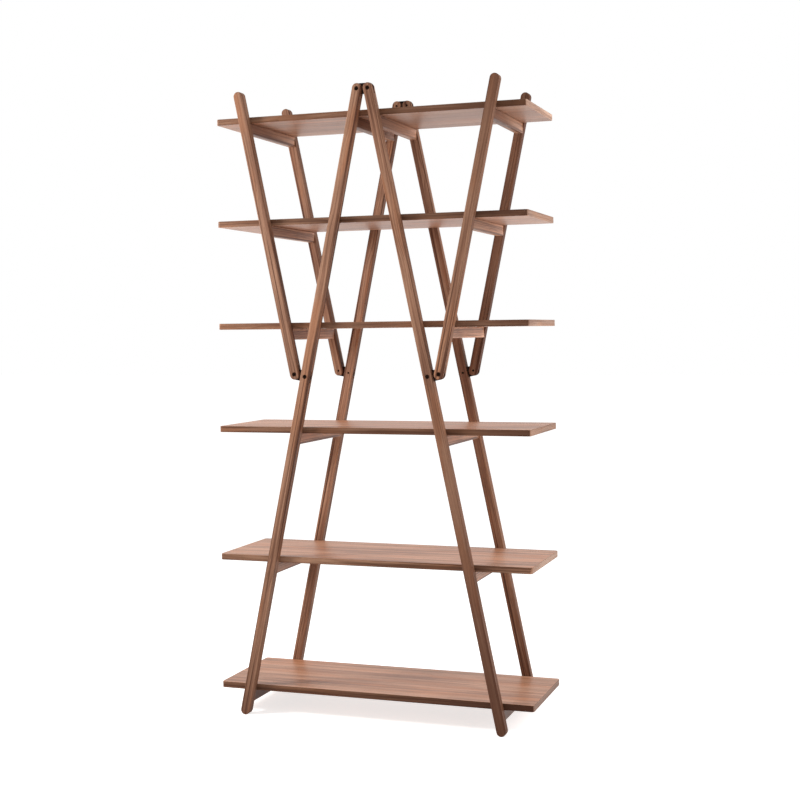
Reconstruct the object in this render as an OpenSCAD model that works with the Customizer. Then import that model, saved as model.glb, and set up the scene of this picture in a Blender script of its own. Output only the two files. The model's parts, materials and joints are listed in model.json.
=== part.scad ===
// Folding bookstand rack: a front and a back frame of tilted uprights,
// tied by crossbars that carry six loose shelves.
// X runs along the shelves, Y from front to back, Z up. Millimetres.
// The origin is on the floor, under the middle of the rack.
// Levels are counted from the floor: 1 is the lowest shelf, 6 the top one.

/* [Shelves] */
// Length of a shelf
shelf_l = 1000; // [900:10:1200]
// Depth of a shelf
shelf_d = 330; // [260:5:420]
// Thickness of a shelf
shelf_t = 19; // [15:0.5:25]
// Radius of a shelf's corners, seen from above
shelf_corner_r = 9; // [2:1:25]
// Height of the lowest shelf's top face above the floor
first_shelf_z = 90; // [80:1:150]
// Step between the lower shelves, from top face to top face
lower_step = 398; // [350:1:410]
// Step between the upper shelves, from top face to top face
upper_step = 320; // [300:1:325]
// Air between a shelf and the crossbars under it
seat_gap = 0.3; // [0.2:0.1:0.5]
// Air between a shelf and the uprights before and behind it
side_gap = 1; // [0.5:0.1:3]

/* [Uprights] */
// Height of the rack's top above the top shelf
top_above = 77; // [60:1:150]
// Width of an upright, in the plane of its frame
upright_w = 29; // [27:0.5:34]
// Thickness of an upright, from front to back
upright_t = 27; // [25:0.5:36]
// Lean of the long legs from the vertical, in degrees
leg_angle = 11.65; // [9.5:0.05:13]
// Lean of the short struts from the vertical, in degrees
strut_angle = 11.85; // [10:0.05:14]
// Height of the long leg's middle hinge pin above the third shelf
mid_pin_above = 155; // [120:1:190]
// Distance from a hinge pin to the end of its upright
pin_to_end = 16; // [15:0.5:20]

/* [Crossbars] */
// Width of a crossbar
bar_w = 24; // [20:0.5:28]
// Height of a crossbar
bar_h = 33; // [28:0.5:40]
// Chamfer along a crossbar's edges
bar_edge = 2; // [1:0.5:4]
// Diameter of a dowel
dowel_d = 8; // [6:1:10]
// Length of a dowel
dowel_l = 36; // [24:1:44]
// Distance between the two dowels in a bar's end
dowel_step = 15; // [12:0.5:16]

/* [Hinges] */
// Distance between a link's two pins
link_pitch = 35.5; // [34:0.5:42]
// Height of a link plate
link_h = 33; // [28:0.5:36]
// Thickness of a link plate
link_t = 6; // [4:0.5:8]
// Turn of a middle link on its long leg over the whole fold, in degrees
link_turn = 3; // [1:0.5:6]
// Air on each side of a link plate in its slot
slot_side_gap = 0.2; // [0.1:0.1:0.5]
// Air past a link plate at the end of its slot
slot_end_gap = 0.6; // [0.4:0.1:2]
// Diameter of a hinge bolt's shank
pin_d = 7; // [5:0.5:9]
// Air around a shank in a link plate
pin_gap = 0.05; // [0.02:0.01:0.09]
// Diameter of a hinge bolt's head
head_d = 12; // [10:0.5:13]
// Height of a hinge bolt's head
head_h = 5; // [3:0.5:6]
// Key width of the socket in a bolt's head
socket_w = 5; // [4:0.5:6]
// Depth of the socket in a bolt's head
socket_deep = 2.5; // [1:0.5:2.5]
// Diameter of the hole that sinks a bolt's head
sink_d = 13; // [12.5:0.5:16]
// Depth of a bolt's head below the upright's outer face
head_below = 2; // [0.5:0.5:3]
// Depth of a bolt's tip below the upright's inner face
tip_below = 1.5; // [0.5:0.5:4]

/* [Hidden] */
$fn = 96;
hex_sides = 6;
poke = 1;
walnut = [0.42, 0.25, 0.16];
light_walnut = [0.58, 0.41, 0.30];
beech = [0.78, 0.62, 0.44];
black_steel = [0.08, 0.08, 0.09];

// Sides of the rack and of a frame, as signs along X and Y
LEFT = -1;
RIGHT = 1;
FRONT = -1;
BACK = 1;

// Levels whose crossbars sit on the long legs and on the struts
LEG_LEVELS = [1, 2, 3, 6];
STRUT_LEVELS = [4, 5, 6];
LOWER_STEPS = 2;
// The middle hinges sit above this level, and the uprights end above the top
HINGE_LEVEL = 3;
TOP_LEVEL = 6;

rack_h = shelf_top(TOP_LEVEL) + top_above;
mid_pin_z = shelf_top(HINGE_LEVEL) + mid_pin_above;
half_w = upright_w / 2;
// Middle of an upright's thickness, from the middle of the rack
frame_y = shelf_d / 2 + side_gap + upright_t / 2;
inner_y = frame_y - upright_t / 2;

// Hinge pins of the right-hand side, as [x, z]; the left side mirrors them
leg_way = [sin(leg_angle), -cos(leg_angle)];
strut_way = [sin(strut_angle), cos(strut_angle)];
link_way = [cos(leg_angle), sin(leg_angle)];
pin_inset = pin_to_end - half_w;
top_pin = [link_pitch / 2, rack_h - half_w - pin_inset * cos(leg_angle)];
mid_pin = top_pin + leg_way * (top_pin.y - mid_pin_z) / cos(leg_angle);
strut_pin = mid_pin + link_way * link_pitch;

// Centres of the rounded ends, as [x, z]
leg_top = top_pin - leg_way * pin_inset;
leg_foot = top_pin + leg_way * (top_pin.y - half_w) / cos(leg_angle);
strut_foot = strut_pin - strut_way * pin_inset;
strut_top = strut_pin
    + strut_way * (rack_h - half_w - strut_pin.y) / cos(strut_angle);

// How far a slot reaches from its pin when the link turns this far in it
function slot_reach(turn) =
    link_h / 2 / cos(turn) + half_w * tan(turn) + slot_end_gap;

function shelf_top(level) = first_shelf_z
    + lower_step * min(level - 1, LOWER_STEPS)
    + upper_step * max(level - 1 - LOWER_STEPS, 0);

function bar_z(level) = shelf_top(level) - shelf_t - seat_gap - bar_h / 2;

function leg_x(z) = top_pin.x + (top_pin.y - z) * tan(leg_angle);
function strut_x(z) = strut_pin.x + (z - strut_pin.y) * tan(strut_angle);

// Centres of the crossbars of one frame side, as [x, z]
leg_bars = [for (level = LEG_LEVELS) [leg_x(bar_z(level)), bar_z(level)]];
strut_bars = [for (level = STRUT_LEVELS) [strut_x(bar_z(level)), bar_z(level)]];

// Places a child, drawn for the right side, on the given side of the rack
module on_side(side) {
    if (side == LEFT) mirror([1, 0, 0]) children();
    else children();
}

// Lays a child, drawn in the frame's plane and centred on its thickness,
// into the front or back frame
module in_frame(face) {
    translate([0, face * frame_y, 0]) rotate([90, 0, 0]) children();
}

// Bar with round ends between two centres in the frame's plane, as [x, z]
module round_bar(from, to, width, thick) {
    run = to - from;
    translate([from.x, from.y, 0]) rotate(atan2(run.y, run.x))
        linear_extrude(thick, center = true) {
            circle(d = width);
            translate([norm(run), 0]) circle(d = width);
            translate([0, -width / 2]) square([norm(run), width]);
        }
}

// Slot for a link plate, through the upright's width: it reaches this far
// above and below the pin, along the upright
module link_slot(pin, lean, above, below) {
    slot_t = link_t + 2 * slot_side_gap;
    translate([pin.x, pin.y, 0]) rotate(lean)
        translate([-upright_w, -below, -slot_t / 2])
            cube([2 * upright_w, above + below, slot_t]);
}

// Hole for a hinge bolt: the shank's bore and the wide sink for its head,
// which opens on the outer face
module bolt_hole(pin, outward) {
    sink = head_below + head_h;
    translate([pin.x, pin.y, 0]) {
        cylinder(d = pin_d, h = upright_t + 2 * poke, center = true);
        mirror([0, 0, outward > 0 ? 0 : 1])
            translate([0, 0, upright_t / 2 - sink])
                cylinder(d = sink_d, h = sink + poke);
    }
}

// A hinge bolt, in the frame's plane, with its head to the outside
module bolt(pin, outward) {
    head_z = upright_t / 2 - head_below - head_h;
    translate([pin.x, pin.y, 0]) mirror([0, 0, outward > 0 ? 0 : 1])
        difference() {
            union() {
                translate([0, 0, tip_below - upright_t / 2])
                    cylinder(d = pin_d, h = head_z + upright_t / 2 - tip_below);
                translate([0, 0, head_z]) cylinder(d = head_d, h = head_h);
            }
            translate([0, 0, head_z + head_h - socket_deep])
                cylinder(d = socket_w / cos(180 / hex_sides),
                         h = socket_deep + poke, $fn = hex_sides);
        }
}

// One bolt in the front frame and one in the back frame, on one pin axis
module bolt_pair(pin) {
    for (face = [FRONT, BACK]) in_frame(face) bolt(pin, -face);
}

// Dowels of one side's bars, or the holes for them
module dowels(bars) {
    for (bar = bars, face = [FRONT, BACK], row = [-1, 1])
        translate([bar.x, face * inner_y, bar.y + row * dowel_step / 2])
            rotate([90, 0, 0])
                cylinder(d = dowel_d, h = dowel_l, center = true);
}

// Long leg with its hinge slots, bolt holes and dowel holes
module leg(side, face) {
    color(walnut) on_side(side) difference() {
        in_frame(face) difference() {
            round_bar(leg_top, leg_foot, upright_w, upright_t);
            link_slot(top_pin, leg_angle, 2 * upright_w, slot_reach(leg_angle));
            link_slot(mid_pin, leg_angle,
                      slot_reach(link_turn), slot_reach(link_turn));
            bolt_hole(top_pin, -face);
            bolt_hole(mid_pin, -face);
        }
        dowels(leg_bars);
    }
}

// Short strut with its hinge slot, bolt hole and dowel holes
module strut(side, face) {
    swing = leg_angle + strut_angle;
    color(walnut) on_side(side) difference() {
        in_frame(face) difference() {
            round_bar(strut_foot, strut_top, upright_w, upright_t);
            link_slot(strut_pin, -strut_angle, slot_reach(swing), 2 * upright_w);
            bolt_hole(strut_pin, -face);
        }
        dowels(strut_bars);
    }
}

// Crossbar between a front and a back upright, with chamfered edges
module crossbar(side, bar, bars) {
    w = bar_w / 2;
    h = bar_h / 2;
    e = bar_edge;
    outline = [
        [-w, e - h], [e - w, -h], [w - e, -h], [w, e - h],
        [w, h - e], [w - e, h], [e - w, h], [-w, h - e]
    ];
    color(light_walnut) on_side(side) difference() {
        translate([bar.x, 0, bar.y]) rotate([90, 0, 0])
            linear_extrude(2 * inner_y, center = true) polygon(outline);
        dowels(bars);
    }
}

// Loose shelf with rounded corners
module shelf(level) {
    x = shelf_l / 2 - shelf_corner_r;
    y = shelf_d / 2 - shelf_corner_r;
    color(light_walnut) translate([0, 0, shelf_top(level) - shelf_t])
        linear_extrude(shelf_t) {
            square([shelf_l, 2 * y], center = true);
            square([2 * x, shelf_d], center = true);
            for (sx = [-1, 1], sy = [-1, 1])
                translate([sx * x, sy * y]) circle(r = shelf_corner_r);
        }
}

// Link plate between two pins, with a running bore on each
module link(side, face, from, to) {
    color(black_steel) on_side(side) in_frame(face) difference() {
        round_bar(from, to, link_h, link_t);
        for (pin = [from, to])
            translate([pin.x, pin.y, 0])
                cylinder(d = pin_d + 2 * pin_gap, h = 2 * link_t, center = true);
    }
}

module top_link(face) link(RIGHT, face, [-top_pin.x, top_pin.y], top_pin);

module mid_link(side, face) link(side, face, mid_pin, strut_pin);

module side_bolts(side, pin) color(black_steel) on_side(side) bolt_pair(pin);

module side_dowels(side, bars) color(beech) on_side(side) dowels(bars);

module leg_bar(side, level)
    crossbar(side, [leg_x(bar_z(level)), bar_z(level)], leg_bars);

module strut_bar(side, level)
    crossbar(side, [strut_x(bar_z(level)), bar_z(level)], strut_bars);

leg(LEFT, FRONT);  // leg_front_left
leg(LEFT, BACK);  // leg_back_left
leg(RIGHT, FRONT);  // leg_front_right
leg(RIGHT, BACK);  // leg_back_right
strut(LEFT, FRONT);  // strut_front_left
strut(LEFT, BACK);  // strut_back_left
strut(RIGHT, FRONT);  // strut_front_right
strut(RIGHT, BACK);  // strut_back_right
leg_bar(LEFT, 1);  // leg_bar_left_1
leg_bar(LEFT, 2);  // leg_bar_left_2
leg_bar(LEFT, 3);  // leg_bar_left_3
leg_bar(LEFT, 6);  // leg_bar_left_6
leg_bar(RIGHT, 1);  // leg_bar_right_1
leg_bar(RIGHT, 2);  // leg_bar_right_2
leg_bar(RIGHT, 3);  // leg_bar_right_3
leg_bar(RIGHT, 6);  // leg_bar_right_6
strut_bar(LEFT, 4);  // strut_bar_left_4
strut_bar(LEFT, 5);  // strut_bar_left_5
strut_bar(LEFT, 6);  // strut_bar_left_6
strut_bar(RIGHT, 4);  // strut_bar_right_4
strut_bar(RIGHT, 5);  // strut_bar_right_5
strut_bar(RIGHT, 6);  // strut_bar_right_6
shelf(1);  // shelf_1
shelf(2);  // shelf_2
shelf(3);  // shelf_3
shelf(4);  // shelf_4
shelf(5);  // shelf_5
shelf(6);  // shelf_6
top_link(FRONT);  // top_link_front
top_link(BACK);  // top_link_back
mid_link(LEFT, FRONT);  // mid_link_front_left
mid_link(LEFT, BACK);  // mid_link_back_left
mid_link(RIGHT, FRONT);  // mid_link_front_right
mid_link(RIGHT, BACK);  // mid_link_back_right
side_bolts(LEFT, top_pin);  // top_bolts_left
side_bolts(RIGHT, top_pin);  // top_bolts_right
side_bolts(LEFT, mid_pin);  // leg_bolts_left
side_bolts(RIGHT, mid_pin);  // leg_bolts_right
side_bolts(LEFT, strut_pin);  // strut_bolts_left
side_bolts(RIGHT, strut_pin);  // strut_bolts_right
side_dowels(LEFT, leg_bars);  // leg_dowels_left
side_dowels(RIGHT, leg_bars);  // leg_dowels_right
side_dowels(LEFT, strut_bars);  // strut_dowels_left
side_dowels(RIGHT, strut_bars);  // strut_dowels_right
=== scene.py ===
"""Looks of a folding bookstand rack in walnut, with black double-pivot hinges.

Everything is in metres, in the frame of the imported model: X along the shelves,
Y from front to back, Z up, origin on the floor under the middle of the rack.
"""

import json
import math
import random

import bmesh
import bpy
from mathutils import Matrix, Vector


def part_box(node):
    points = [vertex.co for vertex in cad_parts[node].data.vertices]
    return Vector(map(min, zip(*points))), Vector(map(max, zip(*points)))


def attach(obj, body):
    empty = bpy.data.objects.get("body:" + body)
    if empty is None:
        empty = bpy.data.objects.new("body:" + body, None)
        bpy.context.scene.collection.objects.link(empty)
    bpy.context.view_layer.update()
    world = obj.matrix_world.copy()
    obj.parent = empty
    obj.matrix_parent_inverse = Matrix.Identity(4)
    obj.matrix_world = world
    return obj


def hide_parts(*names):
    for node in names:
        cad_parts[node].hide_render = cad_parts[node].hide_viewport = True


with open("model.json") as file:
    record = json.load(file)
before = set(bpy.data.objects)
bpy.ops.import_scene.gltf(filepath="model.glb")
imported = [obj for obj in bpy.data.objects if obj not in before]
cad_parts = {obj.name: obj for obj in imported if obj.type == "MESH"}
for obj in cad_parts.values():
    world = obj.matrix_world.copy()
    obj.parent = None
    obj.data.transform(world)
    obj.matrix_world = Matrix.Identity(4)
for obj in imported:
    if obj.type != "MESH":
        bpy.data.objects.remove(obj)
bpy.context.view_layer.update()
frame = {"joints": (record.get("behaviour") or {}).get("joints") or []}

# ---------------------------------------------------------------- sizes
MM = 0.001
QUARTER_TURN = math.pi / 2
SIDES = ("left", "right")
FRONT, BACK = -1, 1
FACES = {FRONT: "front", BACK: "back"}
LEVELS = range(1, 7)
# The levels whose crossbars each kind of upright carries
BAR_LEVELS = {"leg": (1, 2, 3, 6), "strut": (4, 5, 6)}

UPRIGHT_W = 29 * MM
UPRIGHT_ARRIS = 2 * MM
PIN_TO_END = 16 * MM
END_STEPS = 28
ARRIS_STEPS = 3

LINK_H = 33 * MM
LINK_T = 6 * MM
LINK_ARRIS = 0.7 * MM
SLOT_SIDE_GAP = 0.2 * MM
SLOT_END_GAP = 0.6 * MM

SHANK_D = 7 * MM
SHANK_CHAMFER = 0.6 * MM
BORE_GAP = 0.05 * MM
HEAD_D = 12 * MM
HEAD_H = 5 * MM
HEAD_ROUND = 0.9 * MM
HEAD_ROUND_STEPS = 3
HEAD_BELOW = 2 * MM
TIP_BELOW = 1.5 * MM
SOCKET_W = 5 * MM
SOCKET_DEEP = 2.5 * MM
SOCKET_SIDES = 6
SINK_D = 13 * MM
HOLE_ARRIS = 0.7 * MM
HOLE_STEPS = 48

BAR_W = 24 * MM
BAR_H = 33 * MM
BAR_ARRIS = 2 * MM

DOWEL_D = 8 * MM
DOWEL_L = 36 * MM
DOWEL_STEP = 15 * MM
DOWEL_FLUTES = 14
DOWEL_FLUTE_DEEP = 0.3 * MM
DOWEL_FLUTE_STEPS = 6
DOWEL_CHAMFER = 1.2 * MM

SHELF_CORNER_R = 9 * MM
SHELF_ARRIS = 1.2 * MM
CORNER_STEPS = 10

# Edges sharper than the first are eased, and those sharper than the second shaded sharp
EASED_FROM = math.radians(40)
SHARP_FROM = math.radians(35)
BROAD_FACE_WEIGHT = 100
# A face looks along an axis if its normal has more than this of it
LOOKS_ALONG = 0.7

joints = {joint["name"]: joint for joint in frame["joints"]}


def pivot(joint):
    """Place of a hinge pin in the plane of its frame, with Y left at 0."""
    return Vector(joints[joint]["pos_m"])


def travel(joint):
    """Whole turn of a hinge from rest, in radians."""
    return math.radians(joints[joint]["range_deg"][1])


LEG_LEAN = travel("fold_left")
LINK_TURN = travel("link_turn_left")
STRUT_LEAN = travel("strut_fold_left") + LINK_TURN - LEG_LEAN


def sign_of(side):
    return -1 if side == "left" else 1


def thickness(face):
    """Inner and outer place of a frame's uprights along Y, and the middle between them."""
    low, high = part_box(f"leg_{FACES[face]}_left")
    inner, outer = sorted((low.y, high.y), key=abs)
    return inner, outer, (inner + outer) / 2


def slot_reach(turn):
    """How far a slot reaches from its pin when its link turns this far in it."""
    return LINK_H / 2 / math.cos(turn) + UPRIGHT_W / 2 * math.tan(turn) + SLOT_END_GAP


# ---------------------------------------------------------------- node graphs
class Signal:
    """A number that comes out of a node, ready for arithmetic."""

    def __init__(self, graph, socket):
        self.graph = graph
        self.socket = socket

    def math(self, operation, *others):
        inputs = dict(enumerate((self, *others)))
        return self.graph.node("ShaderNodeMath", {"operation": operation}, inputs)

    def __add__(self, other):
        return self.math("ADD", other)

    def __sub__(self, other):
        return self.math("SUBTRACT", other)

    def __mul__(self, other):
        return self.math("MULTIPLY", other)

    def __truediv__(self, other):
        return self.math("DIVIDE", other)

    def __pow__(self, other):
        return self.math("POWER", other)

    def __neg__(self):
        return self.math("MULTIPLY", -1.0)

    def __rsub__(self, other):
        return -self + other

    __radd__ = __add__
    __rmul__ = __mul__


class Graph:
    """Adds nodes to one node tree."""

    def __init__(self, tree):
        self.tree = tree

    def node(self, kind, settings=None, inputs=None, output=0):
        """Makes a node: settings first, then the values or links of its sockets."""
        made = self.tree.nodes.new(kind)
        for name, value in (settings or {}).items():
            setattr(made, name, value)
        for key, value in (inputs or {}).items():
            self.feed(self.find(made.inputs, key), value)
        return Signal(self, self.find(made.outputs, output))

    def find(self, sockets, key):
        """A socket by number, by identifier or by name."""
        if isinstance(key, int):
            return sockets[key]
        return next((s for s in sockets if s.identifier == key), None) or sockets[key]

    def feed(self, socket, value):
        if isinstance(value, Signal):
            self.tree.links.new(value.socket, socket)
        else:
            socket.default_value = value

    def parts(self, vector):
        """The X, Y and Z of a vector."""
        split = self.node("ShaderNodeSeparateXYZ", None, {"Vector": vector}).socket.node
        return [Signal(self, socket) for socket in split.outputs]

    def vector(self, operation, first, second):
        return self.node("ShaderNodeVectorMath", {"operation": operation}, {0: first, 1: second})

    def blend(self, amount, first, second, clamp=True):
        """Colour between two colours, or past the first one if not clamped."""
        return self.node(
            "ShaderNodeMix", {"data_type": "RGBA", "clamp_factor": clamp},
            {"Factor_Float": amount, "A_Color": first, "B_Color": second}, "Result_Color")

    def ramp(self, value, low, high):
        """0 below low, 1 above high, and a smooth rise between them."""
        return self.node(
            "ShaderNodeMapRange", {"interpolation_type": "SMOOTHSTEP"},
            {"Value": value, "From Min": low, "From Max": high})


def opaque(colour, shade=(1.0, 1.0, 1.0)):
    return (*(s * c for s, c in zip(shade, colour)), 1.0)


# ---------------------------------------------------------------- materials
# Each board gets its own stretch of timber, an offset into the grain in metres,
# and its own tone, which is partly the timber's and partly painted shade: 0 is the
# plain timber, 1 as dark as the darkest timber, and less than 0 paler
GRAIN = "grain"
TONE_AND_SHADE = "tone_and_shade"
TIMBER_LENGTH = 60.0
TIMBER_SEED = 41
CROSSBAR_SEED = 5
DOWEL_SEED = 9
timber = random.Random(TIMBER_SEED)

WALNUT_LIGHT = (0.45, 0.242, 0.150)
WALNUT_MIDDLE = (0.28, 0.135, 0.080)
WALNUT_WARM = (0.42, 0.175, 0.084)
WALNUT_DARK = (0.090, 0.033, 0.017)
WALNUT_PORE = (0.05, 0.020, 0.011)

# Growth rings: their slant through a board, their wander in metres, how sharply each
# ends, their strength where they are faintest, and how many pale bands lie in one
RING_SLANT = 0.6
RING_WANDER = 0.07
RING_SHARPNESS = 3.0
RING_FAINTEST = 0.4
BANDS_PER_RING = 0.63

# How much each feature of the timber colours, roughens and lifts or sinks its surface
WARM_COLOURS, DRIFT_COLOURS, FIBRE_COLOURS, PORE_COLOURS = 0.6, 0.22, 0.3, 0.5
FIBRE_ROUGHENS, PORE_ROUGHENS = 0.18, 0.12
FIBRE_LIFTS, RING_LIFTS, PORE_SINKS = 0.4, 0.1, 0.9

# The same for the speckle and the rubbed patches of blackened steel
RUBBED_COLOURS = 0.5
SPECKLE_ROUGHENS, RUBBED_SMOOTHS = 0.2, 0.08


def surface(name, base, **constants):
    """A material with one Principled shader. Returns the material, its graph and the shader."""
    material = bpy.data.materials.new(name)
    material.use_nodes = True
    shader = material.node_tree.nodes["Principled BSDF"]
    shader.inputs["Base Color"].default_value = opaque(base)
    for socket, value in constants.items():
        shader.inputs[socket.replace("_", " ")].default_value = value
    return material, Graph(material.node_tree), shader


def raise_relief(graph, shader, height, strength, distance):
    """Gives a shader a fine relief."""
    bump = graph.node(
        "ShaderNodeBump", None,
        {"Strength": strength, "Distance": distance, "Height": height}, "Normal")
    graph.feed(shader.inputs["Normal"], bump)


def walnut(name, shade, roughness, gloss, ring_step, figure, streaky):
    """Oiled walnut, with its grain along the first axis of the grain attribute.

    shade lightens or darkens the timber in red, green and blue, ring_step is the
    growth rings' pitch, figure their strength and streaky that of the dark streaks.
    """
    material, graph, shader = surface(
        name, WALNUT_MIDDLE, IOR=1.45, Specular_IOR_Level=gloss)
    grain = graph.node("ShaderNodeAttribute", {"attribute_name": GRAIN}, output="Vector")
    tone_and_shade = graph.node("ShaderNodeAttribute", {"attribute_name": TONE_AND_SHADE}, output="Fac")
    light, middle, warm, dark, pore = (
        opaque(colour, shade)
        for colour in (WALNUT_LIGHT, WALNUT_MIDDLE, WALNUT_WARM, WALNUT_DARK, WALNUT_PORE))

    def texture(along, across, detail=2.0):
        """Noise drawn out along the grain: its scale along and across, per metre."""
        place = graph.vector("MULTIPLY", grain, (along, across, across))
        return graph.node(
            "ShaderNodeTexNoise", None,
            {"Vector": place, "Scale": 1.0, "Detail": detail, "Roughness": 0.55}, "Fac")

    _, across, depth = graph.parts(grain)
    wander = texture(along=2.6, across=9.0) - 0.5
    drift = graph.ramp(texture(along=4.5, across=14.0), low=0.38, high=0.68)
    growth = (across + depth * RING_SLANT + wander * RING_WANDER) / ring_step
    rings = growth.math("FRACT") ** RING_SHARPNESS
    rings = rings * (drift * (1 - RING_FAINTEST) + RING_FAINTEST)
    bands = graph.ramp(texture(along=1.8, across=BANDS_PER_RING / ring_step), low=0.38, high=0.6)
    warmth = graph.ramp(texture(along=3.5, across=26.0), low=0.5, high=0.64)
    streaks = graph.ramp(texture(along=1.3, across=110.0), low=0.52, high=0.64)
    fibres = texture(along=11.0, across=700.0)
    dark_fibres = graph.ramp(fibres, low=0.4, high=0.75)
    pores = graph.ramp(texture(along=55.0, across=1900.0, detail=1.0), low=0.62, high=0.72)

    colour = graph.blend(bands, middle, light)
    colour = graph.blend(warmth * WARM_COLOURS, colour, warm)
    # The board's tone, partly painted shade, darkens or pales the timber here
    colour = graph.blend(tone_and_shade, colour, dark, clamp=False)
    colour = graph.blend(drift * DRIFT_COLOURS, colour, dark)
    colour = graph.blend(rings * figure, colour, dark)
    colour = graph.blend(streaks * streaky, colour, dark)
    colour = graph.blend(dark_fibres * FIBRE_COLOURS, colour, dark)
    colour = graph.blend(pores * PORE_COLOURS, colour, pore)
    rough = roughness + (fibres - 0.5) * FIBRE_ROUGHENS + pores * PORE_ROUGHENS
    relief = fibres * FIBRE_LIFTS - pores * PORE_SINKS + rings * RING_LIFTS
    graph.feed(shader.inputs["Base Color"], colour)
    graph.feed(shader.inputs["Roughness"], rough)
    raise_relief(graph, shader, relief, strength=0.3, distance=0.15 * MM)
    return material


def black_steel(name, base, worn, roughness, gloss):
    """Blackened steel: fine speckle, uneven sheen and faint rubbed patches."""
    material, graph, shader = surface(name, base, IOR=1.5, Specular_IOR_Level=gloss)
    place = graph.node("ShaderNodeTexCoord", output="Object")

    def texture(scale, detail):
        return graph.node(
            "ShaderNodeTexNoise", None, {"Vector": place, "Scale": scale, "Detail": detail}, "Fac")

    speckle = texture(scale=2600.0, detail=2.0)
    rubbed = graph.ramp(texture(scale=140.0, detail=4.0), low=0.58, high=0.75)
    colour = graph.blend(rubbed * RUBBED_COLOURS, opaque(base), opaque(worn))
    rough = roughness + (speckle - 0.5) * SPECKLE_ROUGHENS - rubbed * RUBBED_SMOOTHS
    graph.feed(shader.inputs["Base Color"], colour)
    graph.feed(shader.inputs["Roughness"], rough)
    raise_relief(graph, shader, speckle, strength=0.2, distance=0.05 * MM)
    return material


upright_walnut = walnut(
    "upright_walnut", shade=(1.05, 1.05, 1.05), roughness=0.58, gloss=0.2,
    ring_step=9 * MM, figure=0.75, streaky=1.0)
# Paler than the uprights' walnut, as painted light on the crossbars' lit sides
crossbar_walnut_and_painted_light = walnut(
    "crossbar_walnut_and_painted_light", shade=(1.2, 1.2, 1.2), roughness=0.45, gloss=0.35,
    ring_step=8 * MM, figure=0.5, streaky=0.8)
# Paler than the uprights' walnut, as painted light on the shelves' tops and undersides
shelf_walnut_and_painted_light = walnut(
    "shelf_walnut_and_painted_light", shade=(1.5, 1.5, 1.5), roughness=0.42, gloss=0.5,
    ring_step=8 * MM, figure=0.2, streaky=0.3)
# Paler and greyer than the uprights' walnut, partly as painted light and sheen on the shelves' ends
end_walnut_and_painted_light = walnut(
    "end_walnut_and_painted_light", shade=(1.27, 1.5, 1.75), roughness=0.55, gloss=0.3,
    ring_step=8 * MM, figure=0.2, streaky=0.35)
lipping_walnut = walnut(
    "lipping_walnut", shade=(0.73, 0.73, 0.73), roughness=0.5, gloss=0.12,
    ring_step=9 * MM, figure=0.5, streaky=0.7)
beech = walnut(
    "beech", shade=(1.9, 1.9, 1.9), roughness=0.6, gloss=0.3,
    ring_step=4 * MM, figure=0.1, streaky=0.1)
link_black = black_steel(
    "link_black", base=(0.022, 0.009, 0.006), worn=(0.05, 0.024, 0.016),
    roughness=0.5, gloss=0.12)
bolt_black = black_steel(
    "bolt_black", base=(0.016, 0.006, 0.003), worn=(0.04, 0.018, 0.010),
    roughness=0.55, gloss=0.05)


# ---------------------------------------------------------------- meshes
def as_object(name, mesh):
    made = bpy.data.objects.new(name, mesh)
    bpy.context.scene.collection.objects.link(made)
    return made


def as_mesh(name, body):
    """Ends a bmesh as a mesh."""
    mesh = bpy.data.meshes.new(name)
    body.to_mesh(mesh)
    body.free()
    return mesh


def prism(name, outline, low, high):
    """Solid over a flat outline of (x, y) points, from z low to z high."""
    body = bmesh.new()
    floor = [body.verts.new((x, y, low)) for x, y in outline]
    roof = [body.verts.new((x, y, high)) for x, y in outline]
    body.faces.new(reversed(floor))
    body.faces.new(roof)
    for k in range(len(outline)):
        n = (k + 1) % len(outline)
        body.faces.new((floor[k], floor[n], roof[n], roof[k]))
    return as_mesh(name, body)


def arc(centre, radius, start, steps, turn=math.pi):
    """Points on an arc, counter-clockwise from the start angle."""
    angles = [start + turn * k / steps for k in range(steps + 1)]
    return [(centre[0] + radius * math.cos(a), centre[1] + radius * math.sin(a)) for a in angles]


def round_ended(length, width):
    """Outline of a bar with round ends, centred on (0, 0) and (length, 0)."""
    return (arc((length, 0), width / 2, -QUARTER_TURN, END_STEPS)
            + arc((0, 0), width / 2, QUARTER_TURN, END_STEPS))


def round_cornered(length, depth, radius):
    """Outline of a rectangle with round corners, centred on the origin."""
    points = []
    for k, (sx, sy) in enumerate(((1, 1), (-1, 1), (-1, -1), (1, -1))):
        centre = (sx * (length / 2 - radius), sy * (depth / 2 - radius))
        points += arc(centre, radius, k * QUARTER_TURN, CORNER_STEPS, QUARTER_TURN)
    return points


def turned(name, profile, places):
    """Solids turned about Z at some places.

    The profile is a list of (radius, z) that starts and ends on the axis.
    """
    body = bmesh.new()
    for place in places:
        rings = []
        for radius, z in profile:
            if radius == 0:
                rings.append([body.verts.new((place.x, place.y, z))])
                continue
            circle = arc(place, radius, 0, HOLE_STEPS, math.tau)[:-1]
            rings.append([body.verts.new((x, y, z)) for x, y in circle])
        for low, high in zip(rings, rings[1:]):
            for k in range(HOLE_STEPS):
                n = (k + 1) % HOLE_STEPS
                corners = [low[k % len(low)], low[n % len(low)],
                           high[n % len(high)], high[k % len(high)]]
                body.faces.new(list(dict.fromkeys(corners)))
    bmesh.ops.recalc_face_normals(body, faces=body.faces)
    return as_mesh(name, body)


def ease_edges(piece, width):
    """Rounds a piece's sharp edges."""
    bevel = piece.modifiers.new("arris", "BEVEL")
    bevel.width = width
    bevel.segments = ARRIS_STEPS
    bevel.limit_method = "ANGLE"
    bevel.angle_limit = EASED_FROM


def cut(piece, cutter_mesh):
    """Takes a cutter's shape out of a piece."""
    cutter = as_object(cutter_mesh.name, cutter_mesh)
    boolean = piece.modifiers.new("cut", "BOOLEAN")
    boolean.operation = "DIFFERENCE"
    boolean.solver = "EXACT"
    boolean.object = cutter
    return cutter


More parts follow.
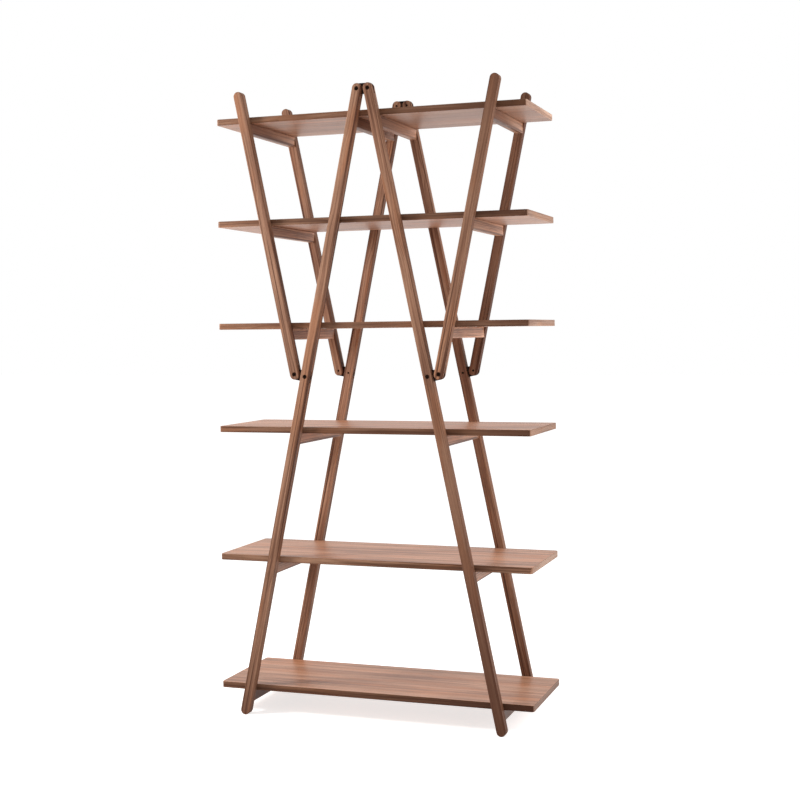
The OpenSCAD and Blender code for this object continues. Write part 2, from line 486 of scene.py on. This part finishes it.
def baked(piece, helpers=()):
    """Puts a piece's modifiers into its mesh, and removes its cutters."""
    bpy.context.view_layer.update()
    graph = bpy.context.evaluated_depsgraph_get()
    mesh = bpy.data.meshes.new_from_object(
        piece.evaluated_get(graph), preserve_all_data_layers=True, depsgraph=graph)
    mesh.name = piece.name
    piece.modifiers.clear()
    piece.data = mesh
    for helper in helpers:
        bpy.data.objects.remove(helper)
    return piece


def smooth(piece):
    """Smooth shading on curved faces, while broad faces stay flat."""
    piece.data.shade_smooth()
    piece.data.set_sharp_from_angle(angle=SHARP_FROM)
    weighted = piece.modifiers.new("weighted", "WEIGHTED_NORMAL")
    weighted.keep_sharp = True
    weighted.weight = BROAD_FACE_WEIGHT
    return baked(piece)


def mark_board(mesh, offset, sorts, tones_and_shade, banded=None):
    """Stores each corner's place in its board, with X along the grain, and its tone, partly painted
    shade.

    sorts numbers the sort of each face. Every sort has a pair of tones, partly painted
    shade, one for the board's low end and one for its high end, and the tone runs evenly between
    them.
    The banded sort is veneer with its grain along Y.
    """
    mesh.attributes.new(GRAIN, "FLOAT_VECTOR", "CORNER")
    mesh.attributes.new(TONE_AND_SHADE, "FLOAT", "CORNER")
    grain, tone_and_shade = mesh.attributes[GRAIN], mesh.attributes[TONE_AND_SHADE]
    reach = [point.co.x for point in mesh.vertices]
    low, high = min(reach), max(reach)
    for face, sort in zip(mesh.polygons, sorts):
        first, last = tones_and_shade[sort]
        for corner in face.loop_indices:
            place = mesh.vertices[mesh.loops[corner].vertex_index].co
            turned_place = place.yxz if sort == banded else place
            grain.data[corner].vector = turned_place + offset
            along = (place.x - low) / (high - low)
            tone_and_shade.data[corner].value = first + (last - first) * along


def next_board():
    """Where in the timber the next board is sawn from."""
    return Vector([timber.uniform(0, TIMBER_LENGTH) for _ in range(3)])


def finished(piece, body, slot, *nodes):
    """Hands a finished piece to its body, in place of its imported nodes."""
    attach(piece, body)
    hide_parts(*nodes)


# ---------------------------------------------------------------- uprights
# An upright's sorts of faces: those that look to the front and the back, and the rest
BROAD, SIDE = range(2)

# Tones at each upright's hinged end and at its far end, first those of its broad faces.
# They are partly timber and partly painted shade: the legs darken towards their feet,
# and several sides are darker than their broad faces, as shade.
UPRIGHT_TONE_AND_SHADE = {
    "front_left_leg": ((0.05, 0.38), (0.05, 0.5)),
    "front_right_leg": ((-0.1, 0.85), (-0.05, 0.85)),
    "back_left_leg": ((-0.22, 0.1), (0.7, 0.45)),
    "back_right_leg": ((0.2, 0.33), (0.0, 0.4)),
    "front_left_strut": ((0.29, 0.27), (0.2, 0.4)),
    "front_right_strut": ((-0.15, 0.7), (0.1, 0.65)),
    "back_left_strut": ((0.02, 0.34), (0.5, 0.6)),
    "back_right_strut": ((0.55, 0.52), (1.0, 1.0)),
}


def board_frame(start, end, face):
    """Matrix from a board's own axes (along, across, outward) to the rack's."""
    middle = Vector((0, thickness(face)[2], 0))
    along = (end - start).normalized()
    outward = Vector((0, face, 0))
    turn = Matrix((along, outward.cross(along), outward)).transposed().to_4x4()
    return Matrix.Translation(start + middle) @ turn


def bolt_hole(name, place, thick):
    """Cutter for a hinge bolt: sink for the head, bore for the shank, eased rims."""
    outer, sink, bore = thick / 2, SINK_D / 2, SHANK_D / 2
    seat = outer - HEAD_BELOW - HEAD_H
    over = UPRIGHT_W
    return turned(name, [
        (0, over), (sink + HOLE_ARRIS, over), (sink + HOLE_ARRIS, outer),
        (sink, outer - HOLE_ARRIS), (sink, seat), (bore, seat), (bore, HOLE_ARRIS - outer),
        (bore + HOLE_ARRIS, -outer), (bore + HOLE_ARRIS, -over), (0, -over)], [place])


def dowel_holes(name, places, thick):
    """Cutter for the dowels that hold crossbars to an upright's inner face."""
    top, foot = (DOWEL_L - thick) / 2, -(DOWEL_L + thick) / 2
    radius = DOWEL_D / 2
    return turned(name, [(0, top), (radius, top), (radius, foot), (0, foot)], places)


def dowel_places(side, kind, face):
    """Centres of the dowels that join one upright to its crossbars."""
    inner = thickness(face)[0]
    places = []
    for level in BAR_LEVELS[kind]:
        low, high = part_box(f"{kind}_bar_{side}_{level}")
        x, z = (low.x + high.x) / 2, (low.z + high.z) / 2
        places += [Vector((x, inner, z + row * DOWEL_STEP / 2)) for row in (-1, 1)]
    return places


def upright(side, face, kind, ends, pins):
    """Round-ended upright with its link slots, bolt holes and dowel holes.

    ends are the centres of its round ends; pins lists each hinge pin with how
    far its slot reaches towards the first and towards the second end.
    """
    name = f"{FACES[face]}_{side}_{kind}"
    start, end = ends
    inner, outer, middle = thickness(face)
    thick = abs(outer - inner)
    to_rack = board_frame(start, end, face)
    to_board = to_rack.inverted()
    outline = round_ended((end - start).length, UPRIGHT_W)
    piece = as_object(name, prism(name, outline, -thick / 2, thick / 2))
    ease_edges(piece, UPRIGHT_ARRIS)
    half_slot = LINK_T / 2 + SLOT_SIDE_GAP
    cutters = []
    for pin, back_reach, fore_reach in pins:
        place = to_board @ (pin + Vector((0, middle, 0)))
        low, high = place.x - back_reach, place.x + fore_reach
        slot = [(low, -UPRIGHT_W), (high, -UPRIGHT_W), (high, UPRIGHT_W), (low, UPRIGHT_W)]
        cutters.append(cut(piece, prism(name + "_slot", slot, -half_slot, half_slot)))
        cutters.append(cut(piece, bolt_hole(name + "_hole", place, thick)))
    pegs = [to_board @ place for place in dowel_places(side, kind, face)]
    cutters.append(cut(piece, dowel_holes(name + "_pegs", pegs, thick)))
    baked(piece, cutters)
    piece.data.materials.append(upright_walnut)
    sorts = [SIDE if abs(flat.normal.z) < LOOKS_ALONG else BROAD
             for flat in piece.data.polygons]
    mark_board(piece.data, next_board(), sorts, UPRIGHT_TONE_AND_SHADE[name])
    piece.data.transform(to_rack)
    finished(smooth(piece), f"{side}_{kind}s", "upright", f"{kind}_{FACES[face]}_{side}")


def leg_ends(side):
    """Centres of a long leg's round ends, top first."""
    pin = pivot("fold_" + side)
    way = Vector((sign_of(side) * math.sin(LEG_LEAN), 0, -math.cos(LEG_LEAN)))
    beyond = way * (PIN_TO_END - UPRIGHT_W / 2)
    return pin - beyond, pin + way * (pin.z - UPRIGHT_W / 2) / math.cos(LEG_LEAN)


def strut_ends(side):
    """Centres of a strut's round ends, hinged end first."""
    pin = pivot("strut_fold_" + side)
    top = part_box("strut_front_" + side)[1].z - UPRIGHT_W / 2
    way = Vector((sign_of(side) * math.sin(STRUT_LEAN), 0, math.cos(STRUT_LEAN)))
    beyond = way * (PIN_TO_END - UPRIGHT_W / 2)
    return pin - beyond, pin + way * (top - pin.z) / math.cos(STRUT_LEAN)


def make_uprights():
    """The eight uprights: slots are open at a hinged end and closed along a leg."""
    open_end = 2 * UPRIGHT_W
    for side in SIDES:
        top = (pivot("fold_" + side), open_end, slot_reach(LEG_LEAN))
        along = (pivot("link_turn_" + side), slot_reach(LINK_TURN), slot_reach(LINK_TURN))
        foot = (pivot("strut_fold_" + side), open_end, slot_reach(LEG_LEAN + STRUT_LEAN))
        for face in FACES:
            upright(side, face, "leg", leg_ends(side), [top, along])
            upright(side, face, "strut", strut_ends(side), [foot])


# ---------------------------------------------------------------- shelves
# A shelf's sorts of faces, which are also the numbers of its materials
VENEER, LIPPING, END = range(3)

# Tones at the left and at the right end of each shelf, lowest shelf first:
# those of its veneer, its lippings and its ends. They are partly painted shade: most
# lippings darken towards the right, and the lowest shelf's lipping and ends are darkest, as shade.
SHELF_TONE_AND_SHADE = (
    ((0.0, 0.0), (0.1, 1.0), (0.65, 0.65)),
    ((0.0, 0.0), (0.0, -0.7), (0.3, 0.3)),
    ((-0.25, -0.15), (-0.1, 0.75), (0.45, 0.45)),
    ((0.0, 0.0), (-0.1, 0.4), (0.2, 0.2)),
    ((0.0, 0.0), (-0.05, 0.75), (0.35, 0.35)),
    ((0.1, 0.35), (-0.1, 0.6), (-0.15, -0.15)),
)


def make_shelf(level):
    """Shelf with veneered faces and ends, and darker lippings along its long edges."""
    node = f"shelf_{level}"
    low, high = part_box(node)
    name = f"shelf_board_{level}"
    outline = round_cornered(high.x - low.x, high.y - low.y, SHELF_CORNER_R)
    piece = as_object(name, prism(name, outline, low.z, high.z))
    ease_edges(piece, SHELF_ARRIS)
    baked(piece)
    for material in (shelf_walnut_and_painted_light, lipping_walnut, end_walnut_and_painted_light):
        piece.data.materials.append(material)
    for face in piece.data.polygons:
        along, across = abs(face.normal.x), abs(face.normal.y)
        face.material_index = VENEER
        if max(along, across) > LOOKS_ALONG:
            face.material_index = LIPPING if across > along else END
    sorts = [face.material_index for face in piece.data.polygons]
    mark_board(piece.data, next_board(), sorts, SHELF_TONE_AND_SHADE[level - 1], banded=END)
    finished(smooth(piece), node, "shelf", node)


# ---------------------------------------------------------------- hinge links
def plate(name, start, end, face):
    """Round-ended link plate between two pins, with a bore on each."""
    length = (end - start).length
    piece = as_object(name, prism(name, round_ended(length, LINK_H), -LINK_T / 2, LINK_T / 2))
    ease_edges(piece, LINK_ARRIS)
    radius = SHANK_D / 2 + BORE_GAP
    bore = [(0, LINK_H), (radius, LINK_H), (radius, -LINK_H), (0, -LINK_H)]
    bores = turned(name + "_bores", bore, [Vector((0, 0, 0)), Vector((length, 0, 0))])
    baked(piece, [cut(piece, bores)])
    piece.data.transform(board_frame(start, end, face))
    return piece


def link_plates(name, body, start, end, *nodes):
    """The front and the back plate of one hinge, as one piece."""
    both = bmesh.new()
    for face in FACES:
        part = plate(name, start, end, face)
        both.from_mesh(part.data)
        bpy.data.objects.remove(part)
    piece = as_object(name, as_mesh(name, both))
    piece.data.materials.append(link_black)
    finished(smooth(piece), body, "hinge_link", *nodes)


def make_links():
    link_plates("top_link_plates", "top_hinge", pivot("fold_left"), pivot("fold_right"),
                "top_link_front", "top_link_back")
    for side in SIDES:
        link_plates(f"{side}_middle_link_plates", f"{side}_mid_links",
                    pivot("link_turn_" + side), pivot("strut_fold_" + side),
                    f"mid_link_front_{side}", f"mid_link_back_{side}")


# ---------------------------------------------------------------- repeated pieces
# Turn that lays a part that stands along Z down along Y
LAID_DOWN = (QUARTER_TURN, 0.0, 0.0)


class Row(Graph):
    """A Geometry Nodes tree that sets one part on each point of the mesh it is given."""

    def __init__(self, name, **sizes):
        super().__init__(bpy.data.node_groups.new(name, "GeometryNodeTree"))
        self.sizes = sizes
        sockets = self.tree.interface
        sockets.new_socket("Geometry", in_out="OUTPUT", socket_type="NodeSocketGeometry")
        sockets.new_socket("Places", in_out="INPUT", socket_type="NodeSocketGeometry")
        sockets.new_socket("Material", in_out="INPUT", socket_type="NodeSocketMaterial")
        for size in sizes:
            sockets.new_socket(size, in_out="INPUT", socket_type="NodeSocketFloat")
        self.entry = self.tree.nodes.new("NodeGroupInput")

    def given(self, name):
        """An input of the tree."""
        return Signal(self, self.entry.outputs[name])

    def position(self):
        return self.node("GeometryNodeInputPosition")

    def point(self, x=0.0, y=0.0, z=0.0):
        return self.node("ShaderNodeCombineXYZ", None, {"X": x, "Y": y, "Z": z})

    def attribute(self, name):
        return self.node("GeometryNodeInputNamedAttribute", {"data_type": "FLOAT_VECTOR"},
                         {"Name": name}, "Attribute")

    def store(self, geometry, name, value, domain="POINT", kind="FLOAT_VECTOR"):
        return self.node(
            "GeometryNodeStoreNamedAttribute", {"data_type": kind, "domain": domain},
            {"Geometry": geometry, "Name": name, "Value": value})

    def moved(self, mesh, place, turn=(0.0, 0.0, 0.0)):
        return self.node("GeometryNodeTransform", None,
                         {"Geometry": mesh, "Translation": place, "Rotation": turn})

    def rod(self, sides, radius, length):
        """Cylinder or prism along Z, centred on the origin."""
        return self.node("GeometryNodeMeshCylinder", {"fill_type": "NGON"},
                         {"Vertices": sides, "Radius": radius, "Depth": length}, "Mesh")

    def listed(self, index, values):
        """The value at an index in a list."""
        made = self.tree.nodes.new("GeometryNodeIndexSwitch")
        made.data_type = "FLOAT"
        while len(made.index_switch_items) < len(values):
            made.index_switch_items.new()
        for socket, value in zip(made.inputs, (index, *values)):
            self.feed(socket, value)
        return Signal(self, made.outputs[0])

    def lathe(self, sides, rings, swell=1.0):
        """Closed solid turned about Z through rings of (radius, z), from the foot up."""
        steps = len(rings) - 1
        blank = self.node(
            "GeometryNodeMeshCylinder", {"fill_type": "NGON"},
            {"Vertices": sides, "Side Segments": steps, "Radius": 1.0, "Depth": float(steps)}, "Mesh")
        x, y, z = self.parts(self.position())
        ring = (z + steps / 2).math("ROUND")
        radius = self.listed(ring, [r for r, _ in rings]) * swell
        height = self.listed(ring, [h for _, h in rings])
        return self.node("GeometryNodeSetPosition", None,
                         {"Geometry": blank, "Position": self.point(x * radius, y * radius, height)})

    def without(self, mesh, cutters):
        """The mesh with the cutters' shapes taken out."""
        result = mesh
        for cutter in cutters:
            result = self.node("GeometryNodeMeshBoolean",
                               {"operation": "DIFFERENCE", "solver": "EXACT"},
                               {"Mesh 1": result, "Mesh 2": cutter}, "Mesh")
        return result

    def set_out(self, part, grain=None, seed=None):
        """Sets the part on every place and ends the tree.

        Wooden parts give each point's place in its board as grain, centred on the
        board, and each gets its own stretch of timber and the tones of its place, partly painted
        shade.
        """
        if grain:
            part = self.store(part, GRAIN, grain)
        places = self.node(
            "GeometryNodeInstanceOnPoints", None,
            {"Points": self.given("Places"), "Instance": part, "Rotation": self.attribute("turn")})
        if grain:
            board = self.node("FunctionNodeRandomValue", {"data_type": "FLOAT_VECTOR"},
                              {"Min": (0.0,) * 3, "Max": (TIMBER_LENGTH,) * 3, "Seed": seed})
            places = self.store(places, "board", board, "INSTANCE")
        real = self.node("GeometryNodeRealizeInstances", None, {"Geometry": places})
        if grain:
            # Tone and painted shade run evenly along each board, from its first end to its last
            along = self.parts(self.attribute(GRAIN))[0] / self.given("Length") + 0.5
            first, last, _ = self.parts(self.attribute("tones_and_shade"))
            tone_and_shade = first + (last - first) * along
            real = self.store(real, TONE_AND_SHADE, tone_and_shade, kind="FLOAT")
            both = self.vector("ADD", self.attribute(GRAIN), self.attribute("board"))
            real = self.store(real, GRAIN, both)
        ended = self.node("GeometryNodeSetMaterial", None,
                          {"Geometry": real, "Material": self.given("Material")})
        leave = self.tree.nodes.new("NodeGroupOutput")
        self.feed(leave.inputs[0], ended)
        return self

    def build(self, name, places, material, turns=None, tones_and_shade=None, **changed):
        """Runs the tree on some places and returns the result as a plain piece.

        turns has a rotation for each place, and the tones, partly painted shade, the pair at its
        board's ends.
        """
        mesh = bpy.data.meshes.new(name)
        mesh.from_pydata([tuple(place) for place in places], [], [])
        plain = [(0.0, 0.0, 0.0)] * len(places)
        for layer, values in (("turn", turns or plain), ("tones_and_shade", tones_and_shade or plain)):
            data = mesh.attributes.new(layer, "FLOAT_VECTOR", "POINT").data
            for item, value in zip(data, values):
                item.vector = value
        piece = as_object(name, mesh)
        modifier = piece.modifiers.new("row", "NODES")
        modifier.node_group = self.tree
        values = {**self.sizes, **changed, "Material": material}
        for item in self.tree.interface.items_tree:
            if item.in_out == "INPUT" and item.name in values:
                modifier[item.identifier] = values[item.name]
        return smooth(baked(piece))


def crossbar_row():
    """Crossbars from front to back, with rounded long edges and dowel holes in both ends."""
    row = Row("crossbar_row", Width=BAR_W, Height=BAR_H, Length=1.0, Arris=BAR_ARRIS,
              DowelWidth=DOWEL_D, DowelLength=DOWEL_L, DowelStep=DOWEL_STEP)
    profile = row.node("GeometryNodeCurvePrimitiveQuadrilateral", {"mode": "RECTANGLE"},
                       {"Width": row.given("Width"), "Height": row.given("Height")})
    profile = row.node("GeometryNodeFilletCurve", {"mode": "POLY"},
                       {"Curve": profile, "Count": ARRIS_STEPS, "Radius": row.given("Arris")})
    half = row.given("Length") * 0.5
    line = row.node("GeometryNodeCurvePrimitiveLine", None,
                    {"Start": row.point(y=-half), "End": row.point(y=half)})
    bar = row.node("GeometryNodeCurveToMesh", None,
                   {"Curve": line, "Profile Curve": profile, "Fill Caps": True})
    peg = row.rod(HOLE_STEPS, row.given("DowelWidth") * 0.5, row.given("DowelLength"))
    rise = row.given("DowelStep") * 0.5
    holes = [row.moved(peg, row.point(y=end, z=step), LAID_DOWN)
             for end in (-half, half) for step in (-rise, rise)]
    bar = row.without(bar, holes)
    x, y, z = row.parts(row.position())
    return row.set_out(bar, grain=row.point(y, z, x), seed=CROSSBAR_SEED)


def dowel_row():
    """Fluted dowels with chamfered ends."""
    row = Row("dowel_row", Width=DOWEL_D, Length=DOWEL_L, Flute=DOWEL_FLUTE_DEEP,
              Flutes=float(DOWEL_FLUTES), Chamfer=DOWEL_CHAMFER)
    radius, half = row.given("Width") * 0.5, row.given("Length") * 0.5
    chamfer = row.given("Chamfer")
    rings = [(radius - chamfer, -half), (radius, chamfer - half),
             (radius, half - chamfer), (radius - chamfer, half)]
    x, y, z = row.parts(row.position())
    angle = y.math("ARCTAN2", x)
    groove = (angle * row.given("Flutes")).math("COSINE") * 0.5 + 0.5
    swell = 1 - groove * row.given("Flute") / radius
    dowel = row.lathe(DOWEL_FLUTES * DOWEL_FLUTE_STEPS, rings, swell)
    return row.set_out(dowel, grain=row.point(z, x, y), seed=DOWEL_SEED)


def bolt_row():
    """Hinge bolts with a rounded head and a six-sided socket, heads up along Z."""
    row = Row("bolt_row", Thickness=1.0, Shank=SHANK_D, Chamfer=SHANK_CHAMFER, Head=HEAD_D,
              HeadHeight=HEAD_H, Round=HEAD_ROUND, HeadBelow=HEAD_BELOW, TipBelow=TIP_BELOW,
              Socket=SOCKET_W, SocketDeep=SOCKET_DEEP)
    outer = row.given("Thickness") * 0.5
    top = outer - row.given("HeadBelow")
    seat = top - row.given("HeadHeight")
    tip = row.given("TipBelow") - outer
    shank, head = row.given("Shank") * 0.5, row.given("Head") * 0.5
    chamfer, round_off = row.given("Chamfer"), row.given("Round")
    rings = [(shank - chamfer, tip), (shank, tip + chamfer), (shank, seat), (head, seat)]
    for step in range(HEAD_ROUND_STEPS + 1):
        angle = QUARTER_TURN * step / HEAD_ROUND_STEPS
        rings.append((head - round_off * (1 - math.cos(angle)),
                      top - round_off * (1 - math.sin(angle))))
    to_corner = row.given("Socket") * (0.5 / math.cos(math.pi / SOCKET_SIDES))
    key = row.rod(SOCKET_SIDES, to_corner, row.given("SocketDeep") * 2.0)
    bolt = row.without(row.lathe(HOLE_STEPS, rings), [row.moved(key, row.point(z=top))])
    return row.set_out(bolt)


# Tones at the front and at the back end of each crossbar, lowest first. They are
# partly painted shade: most bars are darker at the front, as shade of the front frame,
# and the lowest leg bars are darkest, as shade near the floor.
CROSSBAR_TONE_AND_SHADE = {
    "left_leg": ((1.0, 0.6), (0.1, 0.05), (0.1, 0.0), (0.8, -0.1)),
    "right_leg": ((0.9, 0.4), (-0.45, -0.35), (-0.05, -0.45), (0.7, -0.4)),
    "left_strut": ((-0.45, -0.65), (0.3, -0.75), (0.65, -0.1)),
    "right_strut": ((-0.8, -0.95), (0.3, -0.85), (0.85, 0.0)),
}


def make_crossbars():
    row = crossbar_row()
    for side in SIDES:
        for kind, levels in BAR_LEVELS.items():
            nodes = [f"{kind}_bar_{side}_{level}" for level in levels]
            boxes = [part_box(node) for node in nodes]
            places = [(low + high) / 2 for low, high in boxes]
            length = boxes[0][1].y - boxes[0][0].y
            tones_and_shade = [(front, back, 0.0) for front, back in CROSSBAR_TONE_AND_SHADE[f"{side}_{kind}"]]
            piece = row.build(f"{side}_{kind}_crossbars", places, crossbar_walnut_and_painted_light,
                              tones_and_shade=tones_and_shade, Length=length)
            finished(piece, f"{side}_{kind}s", "crossbar", *nodes)


def make_dowels():
    row = dowel_row()
    for side in SIDES:
        for kind in BAR_LEVELS:
            places = [place for face in FACES for place in dowel_places(side, kind, face)]
            piece = row.build(f"{side}_{kind}_beech_dowels", places, beech,
                              turns=[LAID_DOWN] * len(places))
            finished(piece, f"{side}_{kind}s", "dowel", f"{kind}_dowels_{side}")


def heads_outward(place):
    """Turn that points a bolt's head away from the rack's middle."""
    return (-math.copysign(QUARTER_TURN, place.y), 0.0, 0.0)


def make_bolts():
    row = bolt_row()
    inner, outer, middle = thickness(BACK)
    for side in SIDES:
        groups = (("leg", ("fold_", "link_turn_"), (f"top_bolts_{side}", f"leg_bolts_{side}")),
                  ("strut", ("strut_fold_",), (f"strut_bolts_{side}",)))
        for kind, hinges, nodes in groups:
            places = [pivot(hinge + side) + Vector((0, face * middle, 0))
                      for hinge in hinges for face in FACES]
            piece = row.build(f"{side}_{kind}_hinge_bolts", places, bolt_black,
                              turns=[heads_outward(place) for place in places],
                              Thickness=outer - inner)
            finished(piece, f"{side}_{kind}s", "hinge_bolt", *nodes)


# ---------------------------------------------------------------- camera
# The lens in pixels of the picture, and the camera's place and angles in the rack's frame
PHOTO_SIDE = 800
FOCAL_PX = 1385.7
CENTRE_PX = (406.4, 319.0)
SENSOR = 36.0
CAMERA_PLACE = Vector((1.4868, -4.0666, 1.1774))
CAMERA_AZIMUTH = math.radians(19.257)
CAMERA_UP = math.radians(0.485)
CAMERA_ROLL = math.radians(-0.667)


def make_camera():
    data = bpy.data.cameras.new("camera")
    data.sensor_width = SENSOR
    data.lens = FOCAL_PX / PHOTO_SIDE * SENSOR
    data.shift_x = 0.5 - CENTRE_PX[0] / PHOTO_SIDE
    data.shift_y = CENTRE_PX[1] / PHOTO_SIDE - 0.5
    camera = bpy.data.objects.new("camera", data)
    turn = (Matrix.Rotation(CAMERA_AZIMUTH, 4, "Z")
            @ Matrix.Rotation(QUARTER_TURN + CAMERA_UP, 4, "X")
            @ Matrix.Rotation(CAMERA_ROLL, 4, "Z"))
    camera.matrix_world = Matrix.Translation(CAMERA_PLACE) @ turn
    bpy.context.scene.collection.objects.link(camera)
    bpy.context.scene.camera = camera


# ---------------------------------------------------------------- light and floor
WHITE = (1.0, 1.0, 1.0)
FILL = 0.42

# The floor's glow where it is seen directly, which grows between two distances from
# the middle, and the light that it sends up to the rack, which grows between two others:
# its dimming near the middle is painted shade under the rack
FLOOR_SIDE = 60.0
FLOOR_COLOUR = (0.88, 0.875, 0.87)
GLOW, GLOW_GROWTH = 0.68, 0.08
GLOW_NEAR, GLOW_FAR = 1.0, 4.0
BOUNCE = 0.6
BOUNCE_NEAR, BOUNCE_FAR = 0.4, 2.2


def seen_directly(graph):
    """1 for rays from the camera, from gloss and through glass, else 0."""
    path = [graph.node("ShaderNodeLightPath", output=ray)
            for ray in ("Is Camera Ray", "Is Glossy Ray", "Is Transmission Ray")]
    return path[0].math("MAXIMUM", path[1]).math("MAXIMUM", path[2])


def make_world():
    """White all round where it is seen directly, and a dimmer even fill of light."""
    world = bpy.data.worlds.new("studio")
    world.use_nodes = True
    graph = Graph(world.node_tree)
    background = world.node_tree.nodes["Background"]
    background.inputs["Color"].default_value = opaque(WHITE)
    graph.feed(background.inputs["Strength"], seen_directly(graph) * (1 - FILL) + FILL)
    bpy.context.scene.world = world


def make_floor():
    """Pale floor that reads as white and keeps the rack's shadow."""
    half = FLOOR_SIDE / 2
    corners = [(-half, -half, 0), (half, -half, 0), (half, half, 0), (-half, half, 0)]
    mesh = bpy.data.meshes.new("floor")
    mesh.from_pydata(corners, [], [(0, 1, 2, 3)])
    material = bpy.data.materials.new("floor_white")
    material.use_nodes = True
    material.node_tree.nodes.clear()
    graph = Graph(material.node_tree)
    place = graph.node("ShaderNodeTexCoord", output="Object")
    distance = graph.node("ShaderNodeVectorMath", {"operation": "LENGTH"}, {0: place}, "Value")
    glow = GLOW + graph.ramp(distance, GLOW_NEAR, GLOW_FAR) * GLOW_GROWTH
    bounce = graph.ramp(distance, BOUNCE_NEAR, BOUNCE_FAR) * BOUNCE
    strength = (glow - bounce) * seen_directly(graph) + bounce
    paint = graph.node("ShaderNodeBsdfDiffuse", None, {"Color": opaque(FLOOR_COLOUR)})
    light = graph.node("ShaderNodeEmission", None, {"Strength": strength})
    both = graph.node("ShaderNodeAddShader", None, {0: paint, 1: light})
    output = material.node_tree.nodes.new("ShaderNodeOutputMaterial")
    graph.feed(output.inputs["Surface"], both)
    mesh.materials.append(material)
    as_object("floor", mesh)


def softbox(name, place, aim, size, watts, reflected):
    """Round soft lamp at a place, aimed at a point, and reflected in gloss or not."""
    light = bpy.data.lights.new(name, "AREA")
    light.shape = "DISK"
    light.size = size
    light.energy = watts
    lamp = bpy.data.objects.new(name, light)
    lamp.location = place
    lamp.rotation_mode = "QUATERNION"
    lamp.rotation_quaternion = (Vector(aim) - Vector(place)).to_track_quat("-Z", "Y")
    lamp.visible_camera = False
    lamp.visible_glossy = reflected
    bpy.context.scene.collection.objects.link(lamp)


for level in LEVELS:
    make_shelf(level)
make_uprights()
make_links()
make_crossbars()
make_dowels()
make_bolts()
make_camera()
make_world()
make_floor()
softbox("key", place=(-1.9, -1.1, 1.7), aim=(-0.1, 0, 1.1), size=0.7, watts=46, reflected=True)
softbox("side", place=(3.5, 0.7, 2.3), aim=(0.3, 0, 1.1), size=2.4, watts=80, reflected=False)
bpy.context.scene.view_settings.view_transform = "Standard"
